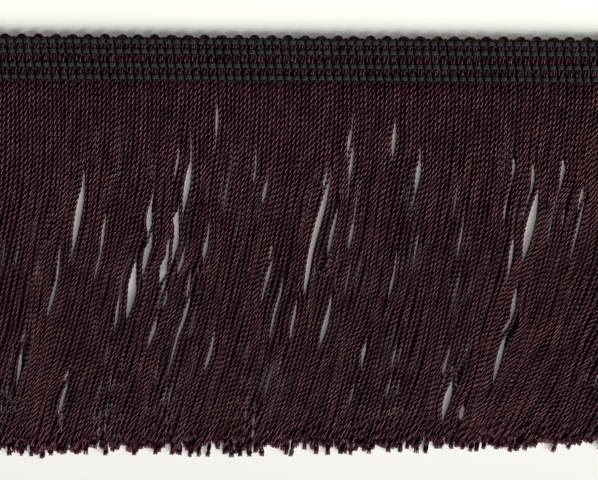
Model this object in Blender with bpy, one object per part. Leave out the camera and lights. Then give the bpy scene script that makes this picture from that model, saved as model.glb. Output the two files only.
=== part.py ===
"""Cut fringe trim: a narrow knitted heading and a two-layer skirt of twisted cords with cut ends.

The trim lies flat with its face up. X runs along it, +Y points from the cut ends to the
heading and Z is up. The origin is the middle of the underside of the whole trim's box.
Inside the trim, "across" is the distance from the heading's left end and "down" is the
distance from the crests of its edge loops towards the cut ends.
"""

import math
import random
from collections import namedtuple

import bmesh
import bpy

MM = 0.001

# One knitted course is the step of everything that repeats along the trim
COURSE = 3.0 * MM
COURSES = 88
LENGTH = COURSES * COURSE
CLEARANCE = 0.3 * MM

# Heading: a band of weft cord, four chains that bind it and the loops where the weft turns
BAND_TOP = 1.8 * MM
BAND_BOTTOM = 16.3 * MM
BAND_HEIGHT = 2.6 * MM
GROOVE_HEIGHT = 1.7 * MM
CHAIN_WIDTH = 1.55 * MM
CHAIN_HEIGHT = 0.95 * MM
CHAIN_DOWN = {
    "chain_1": 2.6 * MM,
    "chain_2": 6.1 * MM,
    "chain_3": 11.1 * MM,
    "chain_4": 15.4 * MM,
}
COURSES_PER_LOOP = 2
LOOP_CREST = 0.0 * MM
LOOP_VALLEY = 1.2 * MM
LOOP_BOTTOM = 1.5 * MM
LOOP_HEIGHT = 2.2 * MM
LOOP_STEPS = 4
# Roundness: the share of a stripe that slopes up on each side, the share of a chain's
# height below its round top, the steps of that top, and the exponent of a loop's crest
STRIPE_SLOPE = 0.25
CHAIN_SHOULDER = 0.35
CHAIN_STEPS = 4
LOOP_ROUNDNESS = 0.8

# Skirt: both layers hang from a narrow strip just below the heading
STRIP_TOP = 16.6 * MM
STRIP_BOTTOM = 17.6 * MM
CORD_APART = 0.22 * MM
RIGHT_LEAN_GAIN = 0.45
RIGHT_LEAN_FROM = 150.0 * MM
RIGHT_LEAN_TO = 250.0 * MM
LEFT_EXTRA_DROP = 3.0 * MM
# Sections of a cord are at least this far apart, and its lean is read over this reach
SECTIONS_APART = 3.0 * MM
LEAN_REACH = 1.0 * MM

Layer = namedtuple(
    "Layer", "name cords_per_course width floor height drop ragged spreads_over seed stretches"
)
# A stretch is a straight run of the cord: its length down the trim and its lean to the left
Stretch = namedtuple("Stretch", "down lean_degrees")
FRONT = Layer(
    name="fringe_front",
    cords_per_course=2,
    width=1.3 * MM,
    floor=1.7 * MM,
    height=1.4 * MM,
    drop=128.5 * MM,
    ragged=1.8 * MM,
    spreads_over=4,
    seed=11,
    stretches=(
        Stretch(18.0 * MM, 1.5),
        Stretch(28.0 * MM, 7.5),
        Stretch(28.0 * MM, 12.5),
        Stretch(28.0 * MM, 15.5),
        Stretch(26.5 * MM, 19.0),
    ),
)
BACK = Layer(
    name="fringe_back",
    cords_per_course=1,
    width=2.6 * MM,
    floor=0.0,
    height=1.4 * MM,
    drop=132.0 * MM,
    ragged=2.6 * MM,
    spreads_over=2,
    seed=23,
    stretches=(
        Stretch(18.0 * MM, 1.0),
        Stretch(28.0 * MM, 5.0),
        Stretch(28.0 * MM, 9.5),
        Stretch(28.0 * MM, 11.5),
        Stretch(30.0 * MM, 5.0),
    ),
)

# The cords sway sideways in slow waves that grow towards their cut ends
Wave = namedtuple("Wave", "length sway phase")
WAVES = (
    Wave(61.0 * MM, 0.8 * MM, 0.7),
    Wave(23.0 * MM, 0.22 * MM, 2.1),
)

# Places where the cords of both layers part and the surface below shows
Parting = namedtuple("Parting", "across down length width")
PARTINGS = (
    Parting(35.1 * MM, 66.6 * MM, 27.0 * MM, 2.2 * MM),
    Parting(54.9 * MM, 92.1 * MM, 23.0 * MM, 2.7 * MM),
    Parting(74.4 * MM, 54.8 * MM, 20.0 * MM, 2.1 * MM),
    Parting(122.0 * MM, 68.6 * MM, 32.0 * MM, 2.2 * MM),
    Parting(157.8 * MM, 51.0 * MM, 14.0 * MM, 1.8 * MM),
    Parting(168.7 * MM, 126.0 * MM, 14.0 * MM, 2.3 * MM),
    Parting(187.4 * MM, 112.0 * MM, 19.0 * MM, 1.9 * MM),
    Parting(198.6 * MM, 67.3 * MM, 26.0 * MM, 2.7 * MM),
)

CORD_COLOUR = (0.085, 0.035, 0.042)
CORD_ROUGHNESS = 0.45
CHAIN_COLOUR = (0.028, 0.034, 0.033)
CHAIN_ROUGHNESS = 0.8


def clear_scene():
    for item in list(bpy.data.objects):
        bpy.data.objects.remove(item)


def material(name, colour, roughness):
    made = bpy.data.materials.new(name)
    made.use_nodes = True
    shader = made.node_tree.nodes["Principled BSDF"]
    shader.inputs["Base Color"].default_value = (*colour, 1.0)
    shader.inputs["Roughness"].default_value = roughness
    shader.inputs["Metallic"].default_value = 0.0
    return made


def place(across, down, height):
    """A point of the trim as a point in space, before the whole trim is centred."""
    return (across, -down, height)


def add_object(name, mesh, finish, parent):
    mesh.materials.append(finish)
    made = bpy.data.objects.new(name, mesh)
    bpy.context.scene.collection.objects.link(made)
    made.parent = parent
    return made


def finish_mesh(name, shape):
    bmesh.ops.recalc_face_normals(shape, faces=shape.faces)
    mesh = bpy.data.meshes.new(name)
    shape.to_mesh(mesh)
    shape.free()
    return mesh


# Heading


def long_bar(name, outline):
    """A bar as long as the trim, from its cross-section as (down, height) points."""
    shape = bmesh.new()
    left = [shape.verts.new(place(0.0, down, height)) for down, height in outline]
    end = shape.faces.new(left)
    grown = bmesh.ops.extrude_face_region(shape, geom=[end], use_keep_orig=True)
    moved = [item for item in grown["geom"] if isinstance(item, bmesh.types.BMVert)]
    bmesh.ops.translate(shape, verts=moved, vec=(LENGTH, 0.0, 0.0))
    return finish_mesh(name, shape)


def band_outline():
    """The band is flat below. Its face swells between the grooves that hold the chains."""
    outline = [(BAND_BOTTOM, 0.0), (BAND_TOP, 0.0), (BAND_TOP, GROOVE_HEIGHT)]
    half_groove = CHAIN_WIDTH / 2 + CLEARANCE
    chains = list(CHAIN_DOWN.values())
    for upper, lower in zip(chains, chains[1:]):
        start = upper + half_groove
        end = lower - half_groove
        slope = (end - start) * STRIPE_SLOPE
        outline += [
            (start, GROOVE_HEIGHT),
            (start + slope, BAND_HEIGHT),
            (end - slope, BAND_HEIGHT),
            (end, GROOVE_HEIGHT),
        ]
    outline.append((BAND_BOTTOM, GROOVE_HEIGHT))
    return outline


def chain_outline(middle):
    """A chain is a rounded cord that sits flat in its groove."""
    base = GROOVE_HEIGHT + CLEARANCE
    shoulder = CHAIN_HEIGHT * CHAIN_SHOULDER
    outline = [(middle + CHAIN_WIDTH / 2, base), (middle - CHAIN_WIDTH / 2, base)]
    for step in range(CHAIN_STEPS + 1):
        turn = math.pi * (1.0 - step / CHAIN_STEPS)
        outline.append(
            (
                middle + math.cos(turn) * CHAIN_WIDTH / 2,
                base + shoulder + math.sin(turn) * (CHAIN_HEIGHT - shoulder),
            )
        )
    return outline


def edge_loops():
    """The weft turns round in one rounded loop for every two courses."""
    shape = bmesh.new()
    loop_length = COURSES_PER_LOOP * COURSE
    loops = COURSES // COURSES_PER_LOOP
    crest_points = []
    for step in range(loops * LOOP_STEPS + 1):
        swell = abs(math.sin(math.pi * step / LOOP_STEPS)) ** LOOP_ROUNDNESS
        down = LOOP_VALLEY + (LOOP_CREST - LOOP_VALLEY) * swell
        crest_points.append((step * loop_length / LOOP_STEPS, down))
    rows = {}
    for height in (0.0, LOOP_HEIGHT):
        rows["crest", height] = [
            shape.verts.new(place(across, down, height)) for across, down in crest_points
        ]
        rows["foot", height] = [
            shape.verts.new(place(loop * loop_length, LOOP_BOTTOM, height))
            for loop in range(loops + 1)
        ]
        for loop in range(loops):
            crest = rows["crest", height][loop * LOOP_STEPS : (loop + 1) * LOOP_STEPS + 1]
            foot = rows["foot", height][loop : loop + 2]
            shape.faces.new(crest + foot[::-1])
    for edge in ("crest", "foot"):
        low = rows[edge, 0.0]
        high = rows[edge, LOOP_HEIGHT]
        for i in range(len(low) - 1):
            shape.faces.new((low[i], low[i + 1], high[i + 1], high[i]))
    for end in (0, -1):
        shape.faces.new(
            (
                rows["crest", 0.0][end],
                rows["foot", 0.0][end],
                rows["foot", LOOP_HEIGHT][end],
                rows["crest", LOOP_HEIGHT][end],
            )
        )
    return finish_mesh("edge_loops", shape)


# Skirt


def lean_gain(across):
    """The cords lean more towards the right end of the trim."""
    share = (across - RIGHT_LEAN_FROM) / (RIGHT_LEAN_TO - RIGHT_LEAN_FROM)
    share = min(1.0, max(0.0, share))
    return 1.0 + RIGHT_LEAN_GAIN * share * share * (3.0 - 2.0 * share)


def knots(layer, root):
    """The plain path of a cord from its root, as (down, across) where its stretches meet."""
    down = STRIP_BOTTOM
    across = root
    reach = sum(stretch.down for stretch in layer.stretches)
    path = [(down, across)]
    gain = lean_gain(root)
    for stretch in layer.stretches:
        down += stretch.down
        across -= stretch.down * math.tan(math.radians(stretch.lean_degrees * gain))
        share = (down - STRIP_BOTTOM) / reach
        sway = sum(w.sway * math.sin(math.tau * root / w.length + w.phase) for w in WAVES)
        path.append((down, across + share * sway))
    return path


def along(path, down):
    """Where a path is at this distance down. Past its last knot it goes straight on."""
    for (down_a, across_a), (down_b, across_b) in zip(path, path[1:]):
        if down <= down_b:
            break
    return across_a + (across_b - across_a) * (down - down_a) / (down_b - down_a)


class Skirt:
    """One layer of cords with the partings that push them sideways."""

    def __init__(self, layer):
        self.layer = layer
        self.count = COURSES * layer.cords_per_course
        self.pitch = COURSE / layer.cords_per_course
        self.paths = [knots(layer, (i + 0.5) * self.pitch) for i in range(self.count)]
        self.pushes = [[] for _ in range(self.count)]
        for parting in PARTINGS:
            self.part(parting)

    def part(self, parting):
        """Moves the nearest cords on both sides away, and their neighbours less and less."""
        split = sum(along(path, parting.down) < parting.across for path in self.paths)
        for step in range(self.layer.spreads_over):
            push = parting.width / 2 * (1.0 - step / self.layer.spreads_over)
            for index, way in ((split - 1 - step, -1.0), (split + step, 1.0)):
                if 0 <= index < self.count:
                    self.pushes[index].append((parting, way * push))

    def across(self, index, down):
        """Where a cord's middle is at this distance down, with its partings."""
        middle = along(self.paths[index], down)
        for parting, push in self.pushes[index]:
            share = 1.0 - abs(down - parting.down) / parting.length
            middle += push * max(0.0, share)
        return middle

    def stations(self, index, tip):
        """The distances down at which this cord's section is drawn."""
        found = {down for down, _ in self.paths[index][1:-1]}
        for parting, _ in self.pushes[index]:
            found |= {
                parting.down - parting.length,
                parting.down,
                parting.down + parting.length,
            }
        kept = []
        for down in sorted(found):
            inside = STRIP_BOTTOM + SECTIONS_APART < down < tip - SECTIONS_APART
            if inside and (not kept or down - kept[-1] > SECTIONS_APART):
                kept.append(down)
        return kept + [tip]

    def section(self, index, down):
        """Half the cord's width and the plan direction across it, so that it clears its neighbours."""
        drift = self.across(index, down + LEAN_REACH) - self.across(index, down - LEAN_REACH)
        lean = math.atan2(-drift, 2.0 * LEAN_REACH)
        here = self.across(index, down)
        spaces = [
            abs(self.across(other, down) - here)
            for other in (index - 1, index + 1)
            if 0 <= other < self.count
        ]
        room = min(spaces) * math.cos(lean) - CORD_APART
        return min(self.layer.width, room) / 2, lean


def tip_of(skirt, index, ragged):
    """Cut ends are uneven, and the skirt is a little longer at its left end."""
    layer = skirt.layer
    left_share = 1.0 - index / (skirt.count - 1)
    extra = LEFT_EXTRA_DROP * left_share + ragged.uniform(-1.0, 1.0) * layer.ragged
    return STRIP_BOTTOM + layer.drop + extra


def cord_ring(shape, skirt, index, down):
    """The three corners of a cord's section: two on its flat underside and its ridge."""
    half, lean = skirt.section(index, down)
    across = skirt.across(index, down)
    side_across = half * math.cos(lean)
    side_down = half * math.sin(lean)
    floor = skirt.layer.floor
    top = floor + skirt.layer.height
    return (
        shape.verts.new(place(across - side_across, down - side_down, floor)),
        shape.verts.new(place(across + side_across, down + side_down, floor)),
        shape.verts.new(place(across, down, top)),
    )


def strip_row(shape, skirt, down, height, ridges):
    """A row of the strip's corners, at the borders of the cords or at their ridges."""
    if ridges:
        steps = [0.0] + [i + 0.5 for i in range(skirt.count)] + [float(skirt.count)]
    else:
        steps = [float(i) for i in range(skirt.count + 1)]
    return [shape.verts.new(place(step * skirt.pitch, down, height)) for step in steps]


def comb(layer):
    """The narrow strip with every cord of the layer growing out of its lower side."""
    shape = bmesh.new()
    skirt = Skirt(layer)
    top = layer.floor + layer.height
    low_back = strip_row(shape, skirt, STRIP_TOP, layer.floor, ridges=False)
    low_front = strip_row(shape, skirt, STRIP_BOTTOM, layer.floor, ridges=False)
    high_back = strip_row(shape, skirt, STRIP_TOP, top, ridges=True)
    high_front = strip_row(shape, skirt, STRIP_BOTTOM, top, ridges=True)
    for i in range(skirt.count):
        shape.faces.new((low_back[i], low_back[i + 1], low_front[i + 1], low_front[i]))
        shape.faces.new((low_back[i], low_back[i + 1], high_back[i + 1]))
    for i in range(skirt.count + 1):
        shape.faces.new((high_back[i], high_back[i + 1], high_front[i + 1], high_front[i]))
        shape.faces.new((low_back[i], high_back[i], high_back[i + 1]))
        shape.faces.new((low_front[i], high_front[i], high_front[i + 1]))
    for end in (0, -1):
        shape.faces.new((low_back[end], low_front[end], high_front[end], high_back[end]))
    ragged = random.Random(layer.seed)
    for i in range(skirt.count):
        ring = (low_front[i], low_front[i + 1], high_front[i + 1])
        for down in skirt.stations(i, tip_of(skirt, i, ragged)):
            following = cord_ring(shape, skirt, i, down)
            for a, b in ((0, 1), (1, 2), (2, 0)):
                shape.faces.new((ring[a], ring[b], following[b], following[a]))
            ring = following
        shape.faces.new(ring)
    return finish_mesh(layer.name, shape)


def centre_on_origin(parent):
    """Moves the trim so that the middle of its box's underside is the origin."""
    bpy.context.view_layer.update()
    corners = [
        item.matrix_world @ vertex.co for item in parent.children for vertex in item.data.vertices
    ]
    middle = [
        (min(corner[axis] for corner in corners) + max(corner[axis] for corner in corners)) / 2
        for axis in (0, 1)
    ]
    parent.location = (-middle[0], -middle[1], 0.0)


def build():
    clear_scene()
    cord_finish = material("twisted_rayon_cord", CORD_COLOUR, CORD_ROUGHNESS)
    chain_finish = material("chain_yarn", CHAIN_COLOUR, CHAIN_ROUGHNESS)
    trim = bpy.data.objects.new("trim", None)
    bpy.context.scene.collection.objects.link(trim)
    add_object("heading_band", long_bar("heading_band", band_outline()), cord_finish, trim)
    add_object("edge_loops", edge_loops(), cord_finish, trim)
    for name, down in CHAIN_DOWN.items():
        add_object(name, long_bar(name, chain_outline(down)), chain_finish, trim)
    for layer in (FRONT, BACK):
        add_object(layer.name, comb(layer), cord_finish, trim)
    centre_on_origin(trim)


build()
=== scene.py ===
"""Looks of a cut fringe trim: a knitted heading and a skirt of twisted cords with cut ends.

The trim lies flat with its face up, its heading along X and its cut ends towards -Y.
Inside the trim, "across" runs from the heading's left end and "down" runs from the crests
of its edge loops towards the cut ends. Every cord is a real two-ply cord: it comes up
from one cut end, crosses the heading, turns in an edge loop and goes down to the other.
"""

import math
import random
from collections import namedtuple

import bpy
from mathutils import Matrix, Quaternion, Vector, noise


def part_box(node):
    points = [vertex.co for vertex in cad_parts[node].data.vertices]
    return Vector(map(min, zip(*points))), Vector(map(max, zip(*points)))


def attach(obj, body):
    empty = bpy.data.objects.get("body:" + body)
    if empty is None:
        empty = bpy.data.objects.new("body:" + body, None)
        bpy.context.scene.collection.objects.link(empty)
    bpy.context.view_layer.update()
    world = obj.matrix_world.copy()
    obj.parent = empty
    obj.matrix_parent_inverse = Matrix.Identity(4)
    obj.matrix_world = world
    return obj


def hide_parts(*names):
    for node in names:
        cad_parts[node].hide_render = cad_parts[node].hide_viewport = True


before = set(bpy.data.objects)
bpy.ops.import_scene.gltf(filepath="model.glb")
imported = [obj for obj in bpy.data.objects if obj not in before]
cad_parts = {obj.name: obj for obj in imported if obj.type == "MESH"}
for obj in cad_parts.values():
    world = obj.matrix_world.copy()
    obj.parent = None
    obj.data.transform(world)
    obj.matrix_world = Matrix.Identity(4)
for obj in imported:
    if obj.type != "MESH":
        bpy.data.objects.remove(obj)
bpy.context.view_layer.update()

MM = 0.001
ROOT = "root"

# The frame gives the trim's own axes
band_low, band_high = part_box("heading_band")
LEFT = band_low.x
LENGTH = band_high.x - band_low.x
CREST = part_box("edge_loops")[1].y
CHAINS = ("chain_1", "chain_2", "chain_3", "chain_4")
CHAIN_DOWN = [CREST - sum(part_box(name), Vector()).y / 2 for name in CHAINS]
CHAIN_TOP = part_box("chain_1")[1].z

# One knitted course is the step of everything that repeats along the trim
COURSE = 3.0 * MM
COURSES = round(LENGTH / COURSE)

# Camera: a flat scan, 598 pixels wide at 0.361 mm each, seen here through a long lens
PIXEL = 0.361 * MM
PIXELS_WIDE = 598
VIEW_ACROSS = 115.36 * MM
VIEW_DOWN = 74.0 * MM
VIEW_ROLL = 0.376
LENS = 200.0
SENSOR = 36.0


def place(across, down, height):
    """A point of the trim as a point in space."""
    return Vector((LEFT + across, CREST - down, height))


def link(item):
    bpy.context.scene.collection.objects.link(item)
    return item


def add_camera():
    data = bpy.data.cameras.new("camera")
    data.lens = LENS
    data.sensor_width = SENSOR
    camera = link(bpy.data.objects.new("camera", data))
    distance = PIXELS_WIDE * PIXEL * LENS / SENSOR
    camera.location = place(VIEW_ACROSS, VIEW_DOWN, CHAIN_TOP + distance)
    camera.rotation_euler = (0.0, 0.0, math.radians(VIEW_ROLL))
    bpy.context.scene.camera = camera


add_camera()


# Node trees


def add(tree, kind, inputs=None, **settings):
    """Adds a node. Inputs maps a socket's name or number to a value or to an output."""
    node = tree.nodes.new(kind)
    for name, value in settings.items():
        setattr(node, name, value)
    for name, value in (inputs or {}).items():
        if isinstance(value, bpy.types.NodeSocket):
            tree.links.new(value, node.inputs[name])
        else:
            node.inputs[name].default_value = value
    return node


def new_tree(name, sockets):
    """A geometry tree with these named inputs, and the node that gives their values."""
    tree = bpy.data.node_groups.new(name, "GeometryNodeTree")
    for label, kind in sockets.items():
        tree.interface.new_socket(label, in_out="INPUT", socket_type="NodeSocket" + kind)
    tree.interface.new_socket("Made", in_out="OUTPUT", socket_type="NodeSocketGeometry")
    return tree, add(tree, "NodeGroupInput").outputs


def end_tree(tree, geometry, finish):
    """Every tree ends with its instances realized and its material set."""
    plain = add(tree, "GeometryNodeRealizeInstances", {"Geometry": geometry})
    smooth = add(tree, "GeometryNodeSetShadeSmooth", {"Geometry": plain.outputs[0]})
    dressed = add(
        tree, "GeometryNodeSetMaterial", {"Geometry": smooth.outputs[0], "Material": finish}
    )
    add(tree, "NodeGroupOutput", {"Made": dressed.outputs[0]})


def grow(name, guide, tree, values):
    """Runs a tree on a guide and keeps what it makes as a plain mesh."""
    modifier = guide.modifiers.new(name, "NODES")
    modifier.node_group = tree
    for item in tree.interface.items_tree:
        if item.in_out == "INPUT" and item.name in values:
            modifier[item.identifier] = values[item.name]
    graph = bpy.context.evaluated_depsgraph_get()
    mesh = bpy.data.meshes.new_from_object(
        guide.evaluated_get(graph), preserve_all_data_layers=True, depsgraph=graph
    )
    mesh.name = name
    guide.modifiers.remove(modifier)
    bpy.data.objects.remove(guide)
    return link(bpy.data.objects.new(name, mesh))


# Materials


def linear(code):
    """An sRGB hex colour as a linear one."""
    parts = []
    for i in (1, 3, 5):
        part = int(code[i : i + 2], 16) / 255.0
        parts.append(part / 12.92 if part <= 0.04045 else ((part + 0.055) / 1.055) ** 2.4)
    return (*parts, 1.0)


def new_material(name):
    made = bpy.data.materials.new(name)
    made.use_nodes = True
    return made, made.node_tree, made.node_tree.nodes["Principled BSDF"]


def twisted_viscose():
    """Twisted viscose filament in a dark aubergine dye.

    The filaments are smooth, so each ply has a slim mauve gloss along its crest. The grooves
    are painted nearly black, as painted shade, and the back cords and the lower skirt are
    painted darker, as painted shade too. Where the cord opens, at its cut end and in its edge
    loop, the filaments scatter more, so the gloss is duller and the colour more even.
    """
    made, tree, shader = new_material("twisted_viscose_filament")
    # A filament is about 0.02 mm thick, too fine to show, so it is drawn coarser
    filament = 0.09 * MM
    streak = 1.6 * MM
    patch = 7.0 * MM
    space = add(tree, "ShaderNodeAttribute", attribute_name="ply_space").outputs["Vector"]
    tone = add(tree, "ShaderNodeAttribute", attribute_name="tone").outputs["Fac"]
    fray = add(tree, "ShaderNodeAttribute", attribute_name="fray").outputs["Fac"]
    crest = add(tree, "ShaderNodeAttribute", attribute_name="crest").outputs["Fac"]
    stretched = add(
        tree,
        "ShaderNodeMapping",
        {"Vector": space, "Scale": (1.0 / filament, 1.0 / filament, 1.0 / streak)},
    )
    threads = add(
        tree,
        "ShaderNodeTexNoise",
        {"Vector": stretched.outputs[0], "Scale": 1.0, "Detail": 2.0, "Roughness": 0.6},
    ).outputs["Fac"]
    where = add(tree, "ShaderNodeTexCoord").outputs["Object"]
    patches = add(
        tree, "ShaderNodeTexNoise", {"Vector": where, "Scale": 1.0 / patch, "Detail": 1.0}
    ).outputs["Fac"]
    # The tone differs at random from cord to cord and in patches, and it also carries the painted
    # shade of the back cords and of the lower skirt
    shade = add(tree, "ShaderNodeMath", {0: patches, 1: tone}, operation="MULTIPLY").outputs[0]
    outside = add(
        tree,
        "ShaderNodeMix",
        {0: shade, 6: linear("#0b0408"), 7: linear("#7a4e51")},
        data_type="RGBA",
    ).outputs[2]
    # Painted shade: where the crest share is low, in the grooves, the colour is painted nearly
    # black
    base_colour = add(
        tree,
        "ShaderNodeMix",
        {0: crest, 6: linear("#030005"), 7: outside},
        data_type="RGBA",
    ).outputs[2]
    opened = add(
        tree, "ShaderNodeMix", {0: fray, 6: base_colour, 7: linear("#2c131b")}, data_type="RGBA"
    ).outputs[2]
    rough = add(
        tree,
        "ShaderNodeMapRange",
        {"Value": fray, "To Min": 0.2, "To Max": 0.36},
    ).outputs[0]
    bump = add(
        tree, "ShaderNodeBump", {"Strength": 0.18, "Distance": 0.05 * MM, "Height": threads}
    ).outputs[0]
    tree.links.new(opened, shader.inputs["Base Color"])
    tree.links.new(rough, shader.inputs["Roughness"])
    tree.links.new(bump, shader.inputs["Normal"])
    shader.inputs["IOR"].default_value = 1.53
    shader.inputs["Specular IOR Level"].default_value = 0.38
    shader.inputs["Specular Tint"].default_value = linear("#ffb2b9")
    return made


def textured_polyester():
    """Textured polyester yarn in a green-black dye.

    Its crimped filaments scatter light, so the chains look matt and a little grey, with
    fine lines along the yarn.
    """
    made, tree, shader = new_material("textured_polyester_yarn")
    # These filaments too are about 0.02 mm thick and drawn coarser, so that they show
    filament = 0.12 * MM
    streak = 1.2 * MM
    where = add(tree, "ShaderNodeTexCoord").outputs["Object"]
    stretched = add(
        tree,
        "ShaderNodeMapping",
        {"Vector": where, "Scale": (1.0 / streak, 1.0 / filament, 1.0 / filament)},
    )
    threads = add(
        tree,
        "ShaderNodeTexNoise",
        {"Vector": stretched.outputs[0], "Scale": 1.0, "Detail": 2.0, "Roughness": 0.6},
    ).outputs["Fac"]
    base_colour = add(
        tree,
        "ShaderNodeMix",
        {0: threads, 6: linear("#121615"), 7: linear("#212725")},
        data_type="RGBA",
    ).outputs[2]
    bump = add(
        tree, "ShaderNodeBump", {"Strength": 0.5, "Distance": 0.08 * MM, "Height": threads}
    ).outputs[0]
    tree.links.new(base_colour, shader.inputs["Base Color"])
    tree.links.new(bump, shader.inputs["Normal"])
    shader.inputs["Roughness"].default_value = 0.78
    shader.inputs["IOR"].default_value = 1.5
    shader.inputs["Specular IOR Level"].default_value = 0.25
    shader.inputs["Sheen Weight"].default_value = 0.06
    shader.inputs["Sheen Tint"].default_value = linear("#9db3ac")
    return made


def pale_board():
    """Matt white board under the trim, faintly cloudy.

    Its colour is a little lighter past the heading: painted light.
    """
    made, tree, shader = new_material("matt_white_board")
    cloud = 111.0 * MM
    cloud_strength = 0.12
    painted_light_reach = 90.0 * MM
    where = add(tree, "ShaderNodeTexCoord").outputs["Object"]
    clouds = add(
        tree, "ShaderNodeTexNoise", {"Vector": where, "Scale": 1.0 / cloud, "Detail": 2.0}
    ).outputs["Fac"]
    # Painted light: the board's colour grows lighter along Y, from the cut ends' side to the
    # heading's
    share = add(
        tree,
        "ShaderNodeMapRange",
        {
            "Value": add(tree, "ShaderNodeSeparateXYZ", {0: where}).outputs["Y"],
            "From Min": -painted_light_reach,
            "From Max": painted_light_reach,
        },
    ).outputs[0]
    uneven = add(
        tree, "ShaderNodeMath", {0: clouds, 1: cloud_strength, 2: share}, operation="MULTIPLY_ADD"
    ).outputs[0]
    tint_and_painted_light = add(
        tree,
        "ShaderNodeMix",
        {0: uneven, 6: linear("#e0dfda"), 7: linear("#f5f4ed")},
        data_type="RGBA",
    ).outputs[2]
    tree.links.new(tint_and_painted_light, shader.inputs["Base Color"])
    shader.inputs["Roughness"].default_value = 0.9
    return made


VISCOSE = twisted_viscose()
POLYESTER = textured_polyester()

# Cords

# Each ply winds round the cord's axis at these distances, sideways and up
PLY_OFFSET = 0.36 * MM
PLY_RISE = 0.34 * MM
PLY_RADIUS = 0.4 * MM
TWIST = 4.33 * MM
# Further down the skirt the cords are twisted a little tighter, their colour is painted darker
# as painted shade, and the front ones are slimmer
LOW_ZONE = (45.0 * MM, 80.0 * MM)
LOW_TWIST = 3.85 * MM
LOW_SLIM = 0.14
LOW_PAINTED_SHADE = 0.22
# How near its axis a cord's surface is in the grooves, as a share of its greatest distance.
# Below it the surface is painted fully in shade, and above it less and less up to the crest.
GROOVE_SHARE = 0.84
# Near the cut end the twist relaxes and the plies open
RELAX_LENGTH = 9.0 * MM
RELAXED_TWIST = 9.5 * MM
FRAY_LENGTH = 3.0 * MM
FRAY_SWELL = 0.3
# In the heading a cord has less twist, and least in its edge loop, where it opens as well
HEADING_TWIST = 6.6 * MM
LOOP_TWIST = 9.0 * MM
LOOP_FRAY = 0.7
# No two cords have the same tone. The back ones are painted darker, as painted shade,
# because they show only as dark slits between the front ones.
TONES = (0.5, 1.0)
BACK_PAINTED_SHADE = 0.3

# In the heading the courses slant, and each course holds its two cords close together
SLANT = 0.117
PAIR_APART = 1.1 * MM
JOIN_DOWN = CHAIN_DOWN[-1]
# Between two chains a cord swells up a little more fully than half a wave does
CROWN_CURVE = 0.7
# Towards the heading's edge two courses draw together into one edge loop
LOOP_BASE = 2.1 * MM
GATHER_DOWN = 4.0 * MM
GATHERED = 0.82
INNER_LIFT = 0.3 * MM
# Steps of the cords' lines: a length in the heading, a number in an edge loop, and a
# distance down in the skirt
LEG_STEP = 0.6 * MM
LOOP_STEPS = 10
GRID = 2.0 * MM

# Front plies have six sections in a turn of the twist. Back ones have four, because they
# show only between the front ones, and their three corners stand farther out.
MESHES = {
    "front": {"Step": TWIST / 6, "Ply Sides": 4, "Ply Radius": PLY_RADIUS},
    "back": {"Step": TWIST / 4, "Ply Sides": 3, "Ply Radius": 1.4 * PLY_RADIUS},
}

Layer = namedtuple(
    "Layer",
    "name seed shift aside fullness press crown loop loop_top skirt end drop ragged wander stray",
)
# Press, crown, loop, skirt and end are heights of the cord's middle above the floor:
# under a chain, between two chains, in the edge loop, in the skirt and at the cut end.
# Fullness is the cord's thickness in the heading, as a share of that in the skirt, and
# loop_top is how far down the cord's middle is at the top of an outer loop. Drop is how far
# the skirt hangs and ragged how uneven its ends are. Cords drift sideways in groups by
# wander and alone by stray.
# The back cords lie half a course aside in the heading, under the slits between the front
# ones, and half a cord aside in the skirt.
FRONT = Layer(
    name="front",
    seed=11,
    shift=0.0,
    aside=0.0,
    fullness=0.94,
    press=1.45 * MM,
    crown=2.05 * MM,
    loop=1.35 * MM,
    loop_top=0.5 * MM,
    skirt=2.25 * MM,
    end=1.6 * MM,
    drop=126.4 * MM,
    ragged=2.4 * MM,
    wander=2.2 * MM,
    stray=0.68 * MM,
)
BACK = Layer(
    name="back",
    seed=23,
    shift=-COURSE / 2,
    aside=COURSE / 4,
    fullness=1.02,
    press=0.8 * MM,
    crown=0.8 * MM,
    loop=0.8 * MM,
    loop_top=1.9 * MM,
    skirt=0.8 * MM,
    end=1.0 * MM,
    drop=128.4 * MM,
    ragged=2.6 * MM,
    wander=2.4 * MM,
    stray=0.56 * MM,
)
# Below the lowest chain the cords come up to the skirt's height and spread evenly. They hang
# free from the strip's bottom, are loosest farther down, and sink again to their cut ends.
LIFT_LENGTH = 3.0 * MM
SPREAD_LENGTH = 8.0 * MM
STRIP_BOTTOM = 17.6 * MM
LOOSE_LENGTH = 45.0 * MM
SINK_LENGTH = 14.0 * MM
LEFT_EXTRA_DROP = 5.0 * MM
# The cords ride a little over and under each other
RIPPLE = 0.5 * MM
RIPPLE_LENGTH = 17.0 * MM
# A group of cords that drifts together has about this width and length, and a cord that
# strays alone does so over this length
GROUP_WIDTH = 11.0 * MM
GROUP_LENGTH = 48.0 * MM
STRAY_LENGTH = 26.0 * MM
# Places in the noise of one cord and the next, so far apart that neighbours are unlike
STRAY_STEP = 1.37
RIPPLE_STEP = 2.71
STRAY_SEED = 7.0
RIPPLE_SEED = 3.0

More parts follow.
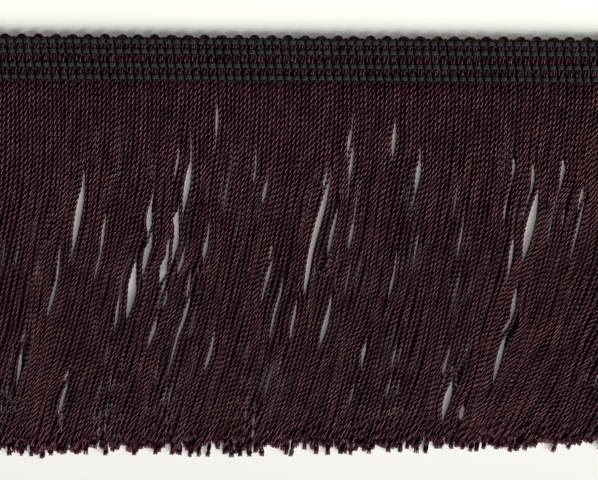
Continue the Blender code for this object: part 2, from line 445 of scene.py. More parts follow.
# How far the cords lean to the left, in degrees, near the left end, in the middle and
# near the right end of the trim
Lean = namedtuple("Lean", "down left middle right")
LEANS = {
    "front": (
        Lean(15.0 * MM, -6.7, -6.7, -6.7),
        Lean(20.0 * MM, 0.0, 0.0, 4.0),
        Lean(31.0 * MM, 0.0, 2.5, 10.0),
        Lean(42.0 * MM, 0.5, 5.0, 11.0),
        Lean(60.0 * MM, 7.0, 9.0, 12.5),
        Lean(81.0 * MM, 12.0, 12.0, 15.0),
        Lean(106.0 * MM, 13.0, 14.8, 20.0),
        Lean(132.0 * MM, 14.0, 17.5, 26.0),
        Lean(155.0 * MM, 16.0, 21.0, 30.0),
    ),
    "back": (
        Lean(15.0 * MM, -6.7, -6.7, -6.7),
        Lean(20.0 * MM, 0.0, 0.0, 3.0),
        Lean(42.0 * MM, 1.0, 3.5, 8.0),
        Lean(60.0 * MM, 5.0, 6.5, 9.5),
        Lean(81.0 * MM, 8.0, 9.0, 12.0),
        Lean(106.0 * MM, 10.0, 11.0, 16.0),
        Lean(128.0 * MM, 8.0, 11.0, 20.0),
        Lean(142.0 * MM, 1.0, 5.0, 22.0),
        Lean(155.0 * MM, 0.0, 3.0, 22.0),
    ),
}
# Where the left column gives way to the middle one, and that one to the right one
LEFT_ZONE = (25.0 * MM, 50.0 * MM)
RIGHT_ZONE = (190.0 * MM, 230.0 * MM)

# Beside a parting this many cords on each side give way, and past its ends it closes again
SPREADS_OVER = 5
CLOSES_OVER = 8.0 * MM
# The nearest cords keep half a cord and this share of the parting's width from its middle
CORD_HALF = 0.72 * MM
OPENING_SHARE = 0.52
# Places where the cords of both layers part and the floor shows: the middle, length and
# width in mm, and how many degrees the parting leans to the left on its way down
Parting = namedtuple("Parting", "across down length width slope")
PARTINGS = [
    Parting(across * MM, down * MM, length * MM, width * MM, math.tan(math.radians(lean)))
    for across, down, length, width, lean in (
        (14.6, 121.6, 12.0, 1.1, 8.0),
        (26.3, 95.5, 16.0, 1.4, 15.0),
        (30.5, 131.3, 10.0, 1.1, 18.0),
        (35.5, 66.6, 27.0, 2.2, 9.0),
        (42.9, 82.4, 13.0, 0.8, 14.0),
        (44.9, 70.3, 7.0, 0.7, 8.0),
        (50.3, 100.3, 12.0, 0.8, 12.0),
        (53.4, 84.8, 12.0, 0.7, 12.0),
        (55.6, 92.1, 23.0, 2.9, 12.0),
        (60.5, 78.7, 17.0, 2.2, 11.0),
        (61.2, 66.8, 10.0, 1.8, 5.0),
        (62.9, 107.6, 11.0, 1.4, 18.0),
        (67.0, 90.5, 6.5, 1.4, 20.0),
        (67.1, 96.5, 6.0, 1.1, 17.0),
        (67.4, 84.1, 10.0, 2.5, 20.0),
        (71.0, 75.8, 9.0, 1.8, 13.0),
        (71.1, 48.7, 12.0, 1.1, 5.0),
        (71.3, 66.4, 6.0, 1.8, 10.0),
        (72.8, 83.3, 8.0, 1.8, 18.0),
        (73.3, 104.6, 14.0, 1.4, 20.0),
        (74.8, 54.8, 20.0, 2.2, 8.0),
        (75.6, 90.3, 8.0, 0.7, 11.0),
        (81.8, 76.8, 9.0, 1.4, 12.0),
        (83.1, 116.8, 9.0, 1.4, 17.0),
        (85.5, 31.3, 11.0, 1.1, 1.0),
        (99.3, 51.5, 6.0, 1.4, 7.0),
        (103.0, 56.4, 9.0, 1.4, 11.0),
        (104.3, 87.1, 12.0, 1.1, 16.0),
        (107.2, 99.7, 18.0, 1.1, 13.0),
        (113.4, 103.3, 11.0, 1.1, 11.0),
        (119.7, 59.6, 13.0, 1.4, 13.0),
        (122.2, 69.6, 38.0, 2.2, 14.0),
        (125.0, 105.4, 14.0, 1.8, 14.5),
        (127.5, 71.1, 18.0, 1.1, 13.0),
        (133.5, 37.4, 9.0, 1.1, 11.0),
        (134.0, 47.5, 12.0, 1.1, 8.5),
        (134.2, 72.1, 12.0, 1.1, 11.0),
        (139.1, 114.7, 7.0, 1.4, 11.5),
        (149.0, 89.7, 11.0, 1.1, 12.0),
        (149.4, 38.1, 14.0, 1.4, 4.0),
        (158.2, 51.0, 12.0, 1.8, 7.0),
        (168.4, 120.2, 7.0, 1.4, 9.0),
        (169.5, 131.8, 14.0, 2.5, 12.0),
        (174.6, 136.4, 6.0, 1.8, 10.0),
        (188.2, 115.8, 19.0, 1.8, 13.0),
        (191.4, 55.4, 14.0, 0.4, 15.0),
        (192.3, 79.3, 14.0, 1.4, 9.0),
        (193.1, 97.3, 10.0, 1.4, 9.0),
        (198.7, 57.3, 10.0, 1.1, 17.0),
        (199.1, 68.3, 26.0, 2.9, 12.0),
        (208.5, 60.0, 22.0, 0.6, 14.0),
        (211.2, 64.5, 8.0, 0.7, 8.0),
        (215.5, 72.0, 22.0, 0.7, 14.5),
        (217.4, 57.0, 7.0, 0.9, 14.0),
    )
]


def smooth(value, low, high):
    share = min(1.0, max(0.0, (value - low) / (high - low)))
    return share * share * (3.0 - 2.0 * share)


def between(rows, down, column):
    """Reads a column of a table whose rows lie at growing distances down."""
    for row_a, row_b in zip(rows, rows[1:]):
        if down <= row_b.down:
            break
    share = (down - row_a.down) / (row_b.down - row_a.down)
    value_a = getattr(row_a, column)
    value_b = getattr(row_b, column)
    return value_a + (value_b - value_a) * share


def course_middle(course, down):
    """The middle of a course in the heading, which slants to the right on its way down."""
    return (course + 0.5) * COURSE + SLANT * (down - CHAIN_DOWN[0])


def leg_across(layer, leg, down):
    """The middle of one of the two cords of a course."""
    course, right = divmod(leg, 2)
    away = course_middle(course, down) + (PAIR_APART / 2 if right else -PAIR_APART / 2)
    pair_middle = course_middle(course // 2 * 2 + 0.5, down)
    gathered = GATHERED + (1.0 - GATHERED) * smooth(down, LOOP_BASE, GATHER_DOWN)
    return pair_middle + (away - pair_middle) * gathered + layer.shift


class Skirt:
    """The lines that the cords of one layer take from the heading to their cut ends."""

    def __init__(self, layer):
        self.layer = layer
        self.count = 2 * COURSES
        self.random = random.Random(layer.seed)
        longest = STRIP_BOTTOM + layer.drop + layer.ragged + LEFT_EXTRA_DROP
        self.grid = [JOIN_DOWN + GRID * i for i in range(int((longest - JOIN_DOWN) / GRID) + 2)]
        self.lines = [self.line(leg) for leg in range(self.count)]
        for parting in PARTINGS:
            self.part(parting)
        self.tips = [self.tip(leg) for leg in range(self.count)]

    def line(self, leg):
        """A cord's line without partings, as its places across at the grid's distances."""
        rows = LEANS[self.layer.name]
        across = leg_across(self.layer, leg, JOIN_DOWN)
        left = 1.0 - smooth(across, *LEFT_ZONE)
        right = smooth(across, *RIGHT_ZONE)
        middle = 1.0 - left - right
        even = (leg % 2 - 0.5) * (COURSE / 2 - PAIR_APART)
        seed = self.layer.seed
        places = []
        for down in self.grid:
            spread = smooth(down, JOIN_DOWN, JOIN_DOWN + SPREAD_LENGTH)
            loose = smooth(down, STRIP_BOTTOM, STRIP_BOTTOM + LOOSE_LENGTH)
            group = noise.noise((across / GROUP_WIDTH, down / GROUP_LENGTH, seed))
            own = noise.noise((leg * STRAY_STEP, down / STRAY_LENGTH, seed + STRAY_SEED))
            drift = self.layer.wander * group + self.layer.stray * own
            places.append(across + (even + self.layer.aside) * spread + loose * drift)
            lean = (
                left * between(rows, down, "left")
                + middle * between(rows, down, "middle")
                + right * between(rows, down, "right")
            )
            across -= GRID * math.tan(math.radians(lean))
        return places

    def at(self, leg, down):
        """Where a cord's line is at this distance down."""
        # Just short of the last place, which has no next one
        end = len(self.grid) - 1.001
        position = min(max((down - JOIN_DOWN) / GRID, 0.0), end)
        index = int(position)
        line = self.lines[leg]
        return line[index] + (line[index + 1] - line[index]) * (position - index)

    def part(self, parting):
        """Moves the nearest cords on both sides away, and their neighbours less and less."""
        split = sum(self.at(leg, parting.down) < parting.across for leg in range(self.count))
        for i, down in enumerate(self.grid):
            away = abs(down - parting.down)
            open_share = max(0.0, 1.0 - (2.0 * away / parting.length) ** 2)
            closed = 1.0 - smooth(away, parting.length / 2, parting.length / 2 + CLOSES_OVER)
            clear = CORD_HALF + OPENING_SHARE * parting.width * open_share
            middle = parting.across - parting.slope * (down - parting.down)
            for leg, way in ((split - 1, -1), (split, 1)):
                if not 0 <= leg < self.count:
                    continue
                push = closed * max(0.0, clear - way * (self.lines[leg][i] - middle))
                for step in range(SPREADS_OVER):
                    near = leg + way * step
                    if 0 <= near < self.count:
                        self.lines[near][i] += way * push * (1.0 - step / SPREADS_OVER)

    def tip(self, leg):
        """Cut ends are uneven, and the skirt is a little longer at its left end."""
        left_share = 1.0 - leg / (self.count - 1)
        extra = LEFT_EXTRA_DROP * left_share + self.random.uniform(-1.0, 1.0) * self.layer.ragged
        return STRIP_BOTTOM + self.layer.drop + extra

    def leg(self, leg):
        """A cord's points from the heading to its cut end, as (across, down, height)."""
        layer = self.layer
        tip = self.tips[leg]
        downs = [down for down in self.grid if down < tip - GRID / 2] + [tip]
        points = []
        for down in downs:
            lifted = smooth(down, JOIN_DOWN, JOIN_DOWN + LIFT_LENGTH)
            ended = smooth(down, tip - SINK_LENGTH, tip)
            rest = layer.skirt + (layer.end - layer.skirt) * ended
            wave = (leg * RIPPLE_STEP, down / RIPPLE_LENGTH, layer.seed + RIPPLE_SEED)
            ripple = noise.noise(wave)
            height = layer.press + (rest - layer.press) * lifted + RIPPLE * ripple * lifted
            points.append((self.at(leg, down), down, height))
        return points


def crown(down):
    """How far a cord swells up between two chains: 0 under a chain and 1 halfway."""
    for upper, lower in zip(CHAIN_DOWN, CHAIN_DOWN[1:]):
        if upper <= down <= lower:
            return math.sin(math.pi * (down - upper) / (lower - upper)) ** CROWN_CURVE
    return 0.0


def heading_leg(layer, leg):
    """A cord's points in the heading, from its lowest chain up to its edge loop."""
    steps = round((JOIN_DOWN - LOOP_BASE) / LEG_STEP)
    points = []
    for step in range(steps + 1):
        down = JOIN_DOWN + (LOOP_BASE - JOIN_DOWN) * step / steps
        height = layer.press + (layer.crown - layer.press) * crown(down)
        points.append((leg_across(layer, leg, down), down, height))
    return points


def edge_loop(layer, leg_a, leg_b):
    """The arc that joins two legs at the heading's edge."""
    across_a = leg_across(layer, leg_a, LOOP_BASE)
    across_b = leg_across(layer, leg_b, LOOP_BASE)
    middle = (across_a + across_b) / 2
    half = (across_b - across_a) / 2
    inner = leg_a % 2
    rise = LOOP_BASE - layer.loop_top - inner * (PLY_RISE + PLY_RADIUS)
    top = layer.loop + inner * INNER_LIFT
    points = []
    for step in range(1, LOOP_STEPS):
        turn = math.pi * step / LOOP_STEPS
        lift = math.sin(turn)
        height = layer.press + (top - layer.press) * lift
        points.append((middle - half * math.cos(turn), LOOP_BASE - rise * lift, height))
    return points


Stop = namedtuple("Stop", "spot side turn swell fray tone along")


def whole_cord(skirt, leg_a, leg_b, phase, tone):
    """A cord's stops in three runs: up its left leg, through the heading, down its right leg."""
    layer = skirt.layer
    heading = heading_leg(layer, leg_a)
    heading += edge_loop(layer, leg_a, leg_b)
    heading += heading_leg(layer, leg_b)[::-1]
    runs = [skirt.leg(leg_a)[::-1], heading, skirt.leg(leg_b)]
    spots = [place(*point) for point in runs[0] + runs[1][1:] + runs[2][1:]]
    first = len(runs[0])
    second = first + len(runs[1]) - 1
    loop_middle = (first + second) / 2
    reach = PLY_RISE + MESHES[layer.name]["Ply Radius"]
    lengths = [0.0]
    for a, b in zip(spots, spots[1:]):
        lengths.append(lengths[-1] + (b - a).length)
    stops = []
    turn = phase
    for i, spot in enumerate(spots):
        along = lengths[i]
        from_end = min(along, lengths[-1] - along)
        ahead = spots[min(i + 1, len(spots) - 1)] - spots[max(i - 1, 0)]
        side = Vector((0.0, 0.0, 1.0)).cross(ahead).normalized()
        low = smooth(CREST - spot.y, *LOW_ZONE)
        relaxed = 1.0 - smooth(from_end, 0.0, RELAX_LENGTH)
        fray = 1.0 - smooth(from_end, 0.0, FRAY_LENGTH)
        if i:
            tight = TWIST + (LOW_TWIST - TWIST) * low
            twist = tight + (RELAXED_TWIST - tight) * relaxed
            if first <= i < second:
                in_loop = abs(i - loop_middle) < LOOP_STEPS / 2
                twist = LOOP_TWIST if in_loop else HEADING_TWIST
                fray = LOOP_FRAY if in_loop else 0.0
            turn += math.tau * (along - lengths[i - 1]) / twist
        swell = 1.0 + FRAY_SWELL * fray - (LOW_SLIM * low if layer is FRONT else 0.0)
        if first <= i < second:
            swell = layer.fullness
        spot.z = max(spot.z, reach * swell)
        # Painted shade: the colour is painted darker down the skirt
        shaded_tone = tone * (1.0 - LOW_PAINTED_SHADE * low)
        stops.append(Stop(spot, side, turn, swell, fray, shaded_tone, along))
    return stops[:first], stops[first - 1 : second], stops[second - 1 :]


def guide_of(name, cords):
    """One chain of edges for each run of cord, with what the tree needs on its points."""
    stops = [stop for cord in cords for stop in cord]
    edges = []
    start = 0
    for cord in cords:
        edges += [(start + i, start + i + 1) for i in range(len(cord) - 1)]
        start += len(cord)
    mesh = bpy.data.meshes.new(name + "_guide")
    mesh.from_pydata([stop.spot for stop in stops], edges, [])
    for field in ("turn", "swell", "fray", "tone", "along"):
        layer = mesh.attributes.new(field, "FLOAT", "POINT")
        layer.data.foreach_set("value", [getattr(stop, field) for stop in stops])
    sides = mesh.attributes.new("side", "FLOAT_VECTOR", "POINT")
    sides.data.foreach_set("vector", [part for stop in stops for part in stop.side])
    return link(bpy.data.objects.new(name + "_guide", mesh))


def cord_tree():
    """Winds two plies round each guide line."""
    tree, given = new_tree(
        "two_ply_cord",
        {
            "Guides": "Geometry",
            "Step": "Float",
            "Ply Offset": "Float",
            "Ply Rise": "Float",
            "Ply Radius": "Float",
            "Ply Sides": "Int",
            "Finish": "Material",
        },
    )
    turn = add(tree, "GeometryNodeInputNamedAttribute", {"Name": "turn"}).outputs[0]
    swell = add(tree, "GeometryNodeInputNamedAttribute", {"Name": "swell"}).outputs[0]
    along = add(tree, "GeometryNodeInputNamedAttribute", {"Name": "along"}).outputs[0]
    side = add(
        tree, "GeometryNodeInputNamedAttribute", {"Name": "side"}, data_type="FLOAT_VECTOR"
    ).outputs[0]
    here = add(tree, "GeometryNodeInputPosition").outputs[0]
    lines = add(tree, "GeometryNodeMeshToCurve", {"Mesh": given["Guides"]})
    stepped = add(
        tree,
        "GeometryNodeResampleCurve",
        {"Curve": lines.outputs[0], "Length": given["Step"]},
        mode="LENGTH",
    ).outputs[0]
    even = add(
        tree,
        "GeometryNodeStoreNamedAttribute",
        {"Geometry": stepped, "Name": "axis", "Value": here},
        data_type="FLOAT_VECTOR",
        domain="POINT",
    ).outputs[0]
    ring = add(
        tree,
        "GeometryNodeCurvePrimitiveCircle",
        {"Resolution": given["Ply Sides"], "Radius": given["Ply Radius"]},
    )
    section = add(
        tree,
        "GeometryNodeStoreNamedAttribute",
        {"Geometry": ring.outputs[0], "Name": "ring", "Value": here},
        data_type="FLOAT_VECTOR",
        domain="POINT",
    ).outputs[0]
    plies = add(tree, "GeometryNodeJoinGeometry")
    for start in (0.0, math.pi):
        angle = add(tree, "ShaderNodeMath", {0: turn, 1: start}, operation="ADD").outputs[0]
        level = add(tree, "ShaderNodeMath", {0: angle}, operation="COSINE").outputs[0]
        rise = add(tree, "ShaderNodeMath", {0: angle}, operation="SINE").outputs[0]
        beside = add(
            tree, "ShaderNodeMath", {0: level, 1: given["Ply Offset"]}, operation="MULTIPLY"
        ).outputs[0]
        above = add(
            tree, "ShaderNodeMath", {0: rise, 1: given["Ply Rise"]}, operation="MULTIPLY"
        ).outputs[0]
        sideways = add(
            tree, "ShaderNodeVectorMath", {0: side, "Scale": beside}, operation="SCALE"
        ).outputs[0]
        upwards = add(tree, "ShaderNodeCombineXYZ", {"Z": above}).outputs[0]
        out = add(
            tree, "ShaderNodeVectorMath", {0: sideways, 1: upwards}, operation="ADD"
        ).outputs[0]
        offset = add(
            tree, "ShaderNodeVectorMath", {0: out, "Scale": swell}, operation="SCALE"
        ).outputs[0]
        wound = add(tree, "GeometryNodeSetPosition", {"Geometry": even, "Offset": offset})
        ply = add(
            tree,
            "GeometryNodeCurveToMesh",
            {
                "Curve": wound.outputs[0],
                "Profile Curve": section,
                "Scale": swell,
                "Fill Caps": True,
            },
        )
        tree.links.new(ply.outputs[0], plies.inputs[0])
    round_place = add(
        tree, "GeometryNodeInputNamedAttribute", {"Name": "ring"}, data_type="FLOAT_VECTOR"
    ).outputs[0]
    length_place = add(tree, "ShaderNodeCombineXYZ", {"Z": along}).outputs[0]
    space = add(
        tree, "ShaderNodeVectorMath", {0: round_place, 1: length_place}, operation="ADD"
    ).outputs[0]
    marked = add(
        tree,
        "GeometryNodeStoreNamedAttribute",
        {"Geometry": plies.outputs[0], "Name": "ply_space", "Value": space},
        data_type="FLOAT_VECTOR",
        domain="POINT",
    ).outputs[0]
    # The outer crest of a ply is far from the cord's axis, and the grooves are close to it.
    # From this crest share the material paints the grooves dark, as painted shade.
    axis = add(
        tree, "GeometryNodeInputNamedAttribute", {"Name": "axis"}, data_type="FLOAT_VECTOR"
    ).outputs[0]
    away = add(
        tree, "ShaderNodeVectorMath", {0: here, 1: axis}, operation="DISTANCE"
    ).outputs["Value"]
    share = add(tree, "ShaderNodeMath", {0: away, 1: swell}, operation="DIVIDE").outputs[0]
    reach = add(
        tree, "ShaderNodeMath", {0: given["Ply Offset"], 1: given["Ply Radius"]}, operation="ADD"
    ).outputs[0]
    groove = add(
        tree, "ShaderNodeMath", {0: reach, 1: GROOVE_SHARE}, operation="MULTIPLY"
    ).outputs[0]
    crest = add(
        tree,
        "ShaderNodeMapRange",
        {"Value": share, "From Min": groove, "From Max": reach},
    ).outputs[0]
    shade_marked = add(
        tree,
        "GeometryNodeStoreNamedAttribute",
        {"Geometry": marked, "Name": "crest", "Value": crest},
        data_type="FLOAT",
        domain="POINT",
    ).outputs[0]
    end_tree(tree, shade_marked, given["Finish"])
    return tree


CORD_TREE = cord_tree()


def add_cords(layer, parts):
    """The layer's skirt in a few pieces, and its legs and loops in the heading as one.

    The four cords of two courses are two whole ones, whose edge loops lie one inside the other.
    """
    skirt = Skirt(layer)
    draw = random.Random(layer.seed + 1)
    falls = [[] for _ in range(parts)]
    heading = []
    ends = []
    units = COURSES // 2
    for unit in range(units):
        first = 4 * unit
        for leg_a, leg_b in ((first, first + 3), (first + 1, first + 2)):
            phase = draw.uniform(0.0, math.pi)
            # The back cords' tone is painted darker, as painted shade
            tone = draw.uniform(*TONES) * (1.0 if layer is FRONT else BACK_PAINTED_SHADE)
            up, turn, down = whole_cord(skirt, leg_a, leg_b, phase, tone)
            falls[unit * parts // units] += [up, down]
            heading.append(turn)
            ends.append((up[0].spot, up[0].spot - up[1].spot))
            ends.append((down[-1].spot, down[-1].spot - down[-2].spot))
    values = {
        "Ply Offset": PLY_OFFSET,
        "Ply Rise": PLY_RISE,
        "Finish": VISCOSE,
        **MESHES[layer.name],
    }
    made = []
    for number, cords in enumerate(falls, start=1):
        name = f"{layer.name}_cords_{number}"
        made.append(grow(name, guide_of(name, cords), CORD_TREE, values))
        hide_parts("fringe_" + layer.name)
    name = f"{layer.name}_weft"
    weft = grow(name, guide_of(name, heading), CORD_TREE, values)
    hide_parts("edge_loops" if layer is FRONT else "heading_band")
    tufts = add_tufts(layer, ends)
    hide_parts("fringe_" + layer.name)
    for piece in made + [weft, tufts]:
        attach(piece, ROOT)


# Cut ends

LOCKS = 7
LOCK_SIDES = 3
LOCK_RINGS = 3
LOCK_RADIUS = 0.32 * MM
LOCK_TAPER = 0.35
# A tuft begins inside its cord and flares from its base's radius to its end's
TUFT_LENGTH = 2.3 * MM
TUFT_OVERLAP = 1.0 * MM
TUFT_BASE = 0.6 * MM
TUFT_FLARE = 0.95 * MM
FLARE_CURVE = 1.4
# Its locks differ in length and stand round it by the golden angle, which spreads them evenly
LOCK_LENGTHS = (0.72, 1.0)
LOCK_SEED = 5
GOLDEN_TURN = math.tau * 0.382
# Tufts differ in size, have one tone and stay just above the floor
TUFT_SMALLEST = (0.85, 0.85, 0.7)
TUFT_LARGEST = (1.1, 1.1, 1.2)
TUFT_TONE = 0.7
TUFT_FLOOR = 0.03 * MM


def ring_round(middle, ahead, radius, sides):
    """Points round a middle, counter-clockwise as seen from ahead."""
    side = Vector((0.0, 0.0, 1.0)).cross(ahead)
    # Straight up there is no side, so X serves
    if side.length < 0.01 * ahead.length:
        side = Vector((1.0, 0.0, 0.0))
    side.normalize()
    up = ahead.normalized().cross(side)
    turns = [math.tau * step / sides for step in range(sides)]
    return [middle + (side * math.cos(turn) + up * math.sin(turn)) * radius for turn in turns]


def add_tube(verts, faces, rings):
    """Joins rings of points into one closed tube."""
    start = len(verts)
    around = len(rings[0])
    for ring in rings:
        verts.extend(ring)
    for row in range(len(rings) - 1):
        for step in range(around):
            a = start + row * around + step
            b = start + row * around + (step + 1) % around
            faces.append((a, b, b + around, a + around))
    last = start + (len(rings) - 1) * around
    faces.append(tuple(range(start, start + around))[::-1])
    faces.append(tuple(range(last, last + around)))


def tuft_mesh():
    """A cut end that has opened into a blunt brush of short locks, along Z."""
    draw = random.Random(LOCK_SEED)
    verts = []
    faces = []
    up = Vector((0.0, 0.0, 1.0))
    for lock in range(LOCKS):
        turn = GOLDEN_TURN * lock
        outer = math.sqrt((lock + 0.5) / LOCKS)
        reach = TUFT_LENGTH * draw.uniform(*LOCK_LENGTHS)
        rings = []
        for ring in range(LOCK_RINGS):
            share = ring / (LOCK_RINGS - 1)
            away = outer * (TUFT_BASE + (TUFT_FLARE - TUFT_BASE) * share**FLARE_CURVE)
            height = share * reach - TUFT_OVERLAP
            middle = Vector((away * math.cos(turn), away * math.sin(turn), height))
            radius = LOCK_RADIUS * (1.0 - LOCK_TAPER * share)
            rings.append(ring_round(middle, up, radius, LOCK_SIDES))
        add_tube(verts, faces, rings)
    mesh = bpy.data.meshes.new("tuft")
    mesh.from_pydata(verts, [], faces)
    return mesh


def tuft_tree():
    """Sets a tuft on every cut end. The floor stops the locks that point down."""
    tree, given = new_tree(
        "cut_ends",
        {
            "Ends": "Geometry",
            "Tuft": "Object",
            "Seed": "Int",
            "Floor": "Float",
            "Finish": "Material",
        },
    )
    shape = add(tree, "GeometryNodeObjectInfo", {"Object": given["Tuft"]}).outputs["Geometry"]
    turned = add(
        tree, "GeometryNodeInputNamedAttribute", {"Name": "turned"}, data_type="FLOAT_VECTOR"
    ).outputs[0]
    turn = add(tree, "FunctionNodeEulerToRotation", {"Euler": turned}).outputs[0]
    sized = add(
        tree,
        "FunctionNodeRandomValue",
        {0: TUFT_SMALLEST, 1: TUFT_LARGEST, "Seed": given["Seed"]},
        data_type="FLOAT_VECTOR",
    ).outputs[0]
    tufts = add(
        tree,
        "GeometryNodeInstanceOnPoints",
        {"Points": given["Ends"], "Instance": shape, "Rotation": turn, "Scale": sized},
    )
    real = add(tree, "GeometryNodeRealizeInstances", {"Geometry": tufts.outputs[0]}).outputs[0]
    here = add(tree, "GeometryNodeInputPosition").outputs[0]
    spot = add(tree, "ShaderNodeSeparateXYZ", {0: here})
    height = add(
        tree, "ShaderNodeMath", {0: spot.outputs["Z"], 1: given["Floor"]}, operation="MAXIMUM"
    ).outputs[0]
    lifted = add(
        tree,
        "ShaderNodeCombineXYZ",
        {"X": spot.outputs["X"], "Y": spot.outputs["Y"], "Z": height},
    ).outputs[0]
    laid = add(tree, "GeometryNodeSetPosition", {"Geometry": real, "Position": lifted}).outputs[0]
    frayed = add(
        tree,
        "GeometryNodeStoreNamedAttribute",
        {"Geometry": laid, "Name": "fray", "Value": 1.0},
        data_type="FLOAT",
        domain="POINT",
    ).outputs[0]
    toned = add(
        tree,
        "GeometryNodeStoreNamedAttribute",
        {"Geometry": frayed, "Name": "tone", "Value": TUFT_TONE},
        data_type="FLOAT",
        domain="POINT",
    ).outputs[0]
    # Tufts have no grooves, so their crest share is 1 and they get no painted shade
    open_tufts = add(
        tree,
        "GeometryNodeStoreNamedAttribute",
        {"Geometry": toned, "Name": "crest", "Value": 1.0},
        data_type="FLOAT",
        domain="POINT",
    ).outputs[0]
    along = add(
        tree,
        "ShaderNodeCombineXYZ",
        {"X": spot.outputs["X"], "Y": spot.outputs["Z"], "Z": spot.outputs["Y"]},
    ).outputs[0]
    marked = add(
        tree,
        "GeometryNodeStoreNamedAttribute",
        {"Geometry": open_tufts, "Name": "ply_space", "Value": along},
        data_type="FLOAT_VECTOR",
        domain="POINT",
    ).outputs[0]
    end_tree(tree, marked, given["Finish"])
    return tree


TUFT = bpy.data.objects.new("tuft", tuft_mesh())
TUFT_TREE = tuft_tree()


def add_tufts(layer, ends):
    """The tufts of all the cut ends of a layer, each turned round its own cord."""
    draw = random.Random(layer.seed + 2)
    turned = []
    for _, ahead in ends:
        roll = Quaternion((0.0, 0.0, 1.0), draw.uniform(0.0, math.tau))
        turned.extend((ahead.to_track_quat("Z", "Y") @ roll).to_euler())
    name = layer.name + "_cut_ends"
    mesh = bpy.data.meshes.new(name + "_points")
    mesh.from_pydata([spot for spot, _ in ends], [], [])
    mesh.attributes.new("turned", "FLOAT_VECTOR", "POINT").data.foreach_set("vector", turned)
    guide = link(bpy.data.objects.new(name + "_points", mesh))
    values = {"Tuft": TUFT, "Seed": layer.seed, "Floor": TUFT_FLOOR, "Finish": VISCOSE}
    return grow(name, guide, TUFT_TREE, values)


add_cords(FRONT, 4)
add_cords(BACK, 3)
bpy.data.objects.remove(TUFT)


# Chains

STITCH_LENGTH = 2.42 * MM
STITCH_WIDTH = 1.6 * MM
STITCH_HEIGHT = 1.2 * MM
# How far the stitches stand out above the plain chains
STITCH_TOP = 0.05 * MM
# How far a stitch is turned about each axis at most, in radians, and how its size varies
STITCH_TURN = (0.08, 0.05, 0.06)
STITCH_SMALLEST = (0.95, 0.94, 0.93)
STITCH_LARGEST = (1.03, 1.06, 1.04)

# Rings along a stitch, from its left end to its right one: place, fullness and sinking
StitchRing = namedtuple("StitchRing", "along full sinks")
STITCH_RINGS = (
    StitchRing(-0.50, 0.50, 0.40),
    StitchRing(-0.45, 0.76, 0.18),
    StitchRing(-0.28, 0.97, 0.03),
    StitchRing(0.00, 1.00, 0.00),
    StitchRing(0.28, 0.97, 0.03),
    StitchRing(0.45, 0.76, 0.18),
    StitchRing(0.50, 0.50, 0.40),
)
# Its section: three strands of yarn side by side on top, and a flat underside
SectionPoint = namedtuple("SectionPoint", "across up")
STITCH_SECTION = (
    SectionPoint(0.50, 0.00),
    SectionPoint(0.46, 0.33),
    SectionPoint(0.33, 0.47),
    SectionPoint(0.17, 0.38),
    SectionPoint(0.00, 0.50),
    SectionPoint(-0.17, 0.38),
    SectionPoint(-0.33, 0.47),
    SectionPoint(-0.46, 0.33),
    SectionPoint(-0.50, 0.00),
    SectionPoint(-0.30, -0.45),
    SectionPoint(0.30, -0.45),
)
# A thread leaves its lower right corner and dives to the next course
TAIL_RADIUS = 0.18 * MM
TAIL_SIDES = 4
STITCH_TAIL = (
    Vector((0.75, -0.35, 0.10)) * MM,
    Vector((1.22, -0.90, 0.12)) * MM,
    Vector((1.52, -1.55, -0.25)) * MM,
    Vector((1.62, -2.00, -0.90)) * MM,
)
# Small ties of the same yarn close the dips between the edge loops
TIE_DOWN = 1.45 * MM
TIE_LOWER = 1.0 * MM
TIE_SIZE = (0.55, 0.7, 0.8)


def stitch_mesh():
    """One stitch: a loop of yarn that dives at both ends, lying along the chain."""
    verts = []
    faces = []
    rings = []
    for ring in STITCH_RINGS:
        points = []
        for point in STITCH_SECTION:
            y = point.across * ring.full * STITCH_WIDTH
            z = (point.up * ring.full - ring.sinks) * STITCH_HEIGHT
            points.append(Vector((ring.along * STITCH_LENGTH - SLANT * y, y, z)))
        rings.append(points)
    add_tube(verts, faces, rings)
    tail = []
    for i, spot in enumerate(STITCH_TAIL):
        ahead = STITCH_TAIL[min(i + 1, len(STITCH_TAIL) - 1)] - STITCH_TAIL[max(i - 1, 0)]
        tail.append(ring_round(spot, ahead, TAIL_RADIUS, TAIL_SIDES))
    add_tube(verts, faces, tail)
    mesh = bpy.data.meshes.new("stitch")
    mesh.from_pydata(verts, [], faces)
    return mesh


def stitch_tree():
    """Sets one stitch on every point, each a little turned and a little larger or smaller."""
    tree, given = new_tree(
        "chain_of_stitches",
        {"Points": "Geometry", "Stitch": "Object", "Seed": "Int", "Finish": "Material"},
    )
    shape = add(tree, "GeometryNodeObjectInfo", {"Object": given["Stitch"]}).outputs["Geometry"]
    turned = add(
        tree,
        "FunctionNodeRandomValue",
        {0: [-turn for turn in STITCH_TURN], 1: STITCH_TURN, "Seed": given["Seed"]},
        data_type="FLOAT_VECTOR",
    ).outputs[0]
    turn = add(tree, "FunctionNodeEulerToRotation", {"Euler": turned}).outputs[0]
    sized = add(
        tree,
        "FunctionNodeRandomValue",
        {0: STITCH_SMALLEST, 1: STITCH_LARGEST, "Seed": given["Seed"]},
        data_type="FLOAT_VECTOR",
    ).outputs[0]
    size = add(
        tree, "GeometryNodeInputNamedAttribute", {"Name": "size"}, data_type="FLOAT_VECTOR"
    ).outputs[0]
    scale = add(tree, "ShaderNodeVectorMath", {0: sized, 1: size}, operation="MULTIPLY").outputs[0]
    stitches = add(
        tree,
        "GeometryNodeInstanceOnPoints",
        {"Points": given["Points"], "Instance": shape, "Rotation": turn, "Scale": scale},
    )
    end_tree(tree, stitches.outputs[0], given["Finish"])
    return tree


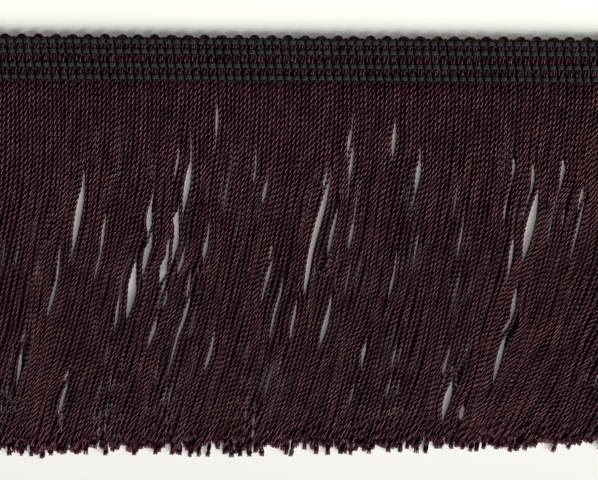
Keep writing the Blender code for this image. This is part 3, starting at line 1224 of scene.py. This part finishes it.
def add_chains():
    stitch = bpy.data.objects.new("stitch", stitch_mesh())
    tree = stitch_tree()
    height = CHAIN_TOP - STITCH_HEIGHT / 2 + STITCH_TOP
    for number, name in enumerate(CHAINS):
        down = CHAIN_DOWN[number]
        spots = [place(course_middle(course, down), down, height) for course in range(COURSES)]
        sizes = [1.0, 1.0, 1.0] * COURSES
        if number == 0:
            for course in range(1, COURSES - 1, 2):
                across = course_middle(course + 0.5, TIE_DOWN)
                spots.append(place(across, TIE_DOWN, height - TIE_LOWER))
                sizes.extend(TIE_SIZE)
        mesh = bpy.data.meshes.new(name + "_points")
        mesh.from_pydata(spots, [], [])
        mesh.attributes.new("size", "FLOAT_VECTOR", "POINT").data.foreach_set("vector", sizes)
        guide = link(bpy.data.objects.new(name + "_points", mesh))
        values = {"Stitch": stitch, "Seed": number, "Finish": POLYESTER}
        piece = grow(name + "_stitches", guide, tree, values)
        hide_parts(name)
        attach(piece, ROOT)
    bpy.data.objects.remove(stitch)


add_chains()


# Floor and light


def add_floor():
    half = 3.0
    mesh = bpy.data.meshes.new("floor")
    corners = [(-half, -half, 0.0), (half, -half, 0.0), (half, half, 0.0), (-half, half, 0.0)]
    mesh.from_pydata(corners, [], [(0, 1, 2, 3)])
    mesh.materials.append(pale_board())
    link(bpy.data.objects.new("floor", mesh))


def add_area_light(name, power, width, depth, spot):
    data = bpy.data.lights.new(name, "AREA")
    data.shape = "RECTANGLE"
    data.size = width
    data.size_y = depth
    data.energy = power
    light = link(bpy.data.objects.new(name, data))
    light.location = spot
    light.rotation_euler = (-Vector(spot)).to_track_quat("-Z", "Y").to_euler()
    light.visible_camera = False


def add_world():
    world = bpy.data.worlds.new("pale_room")
    world.use_nodes = True
    background = world.node_tree.nodes["Background"]
    background.inputs["Color"].default_value = linear("#f4f4f2")
    background.inputs["Strength"].default_value = 0.012
    bpy.context.scene.world = world


add_floor()
# A long low strip beyond the cut ends and to the right, and a weak light above, a little to
# the right as well
add_area_light("strip_light", power=1090.0, width=10.0, depth=2.6, spot=(2.9, -4.4, 2.5))
add_area_light("upper_light", power=8.2, width=0.6, depth=0.6, spot=(0.42, 0.1, 2.0))
add_world()
bpy.context.scene.view_settings.view_transform = "Standard"
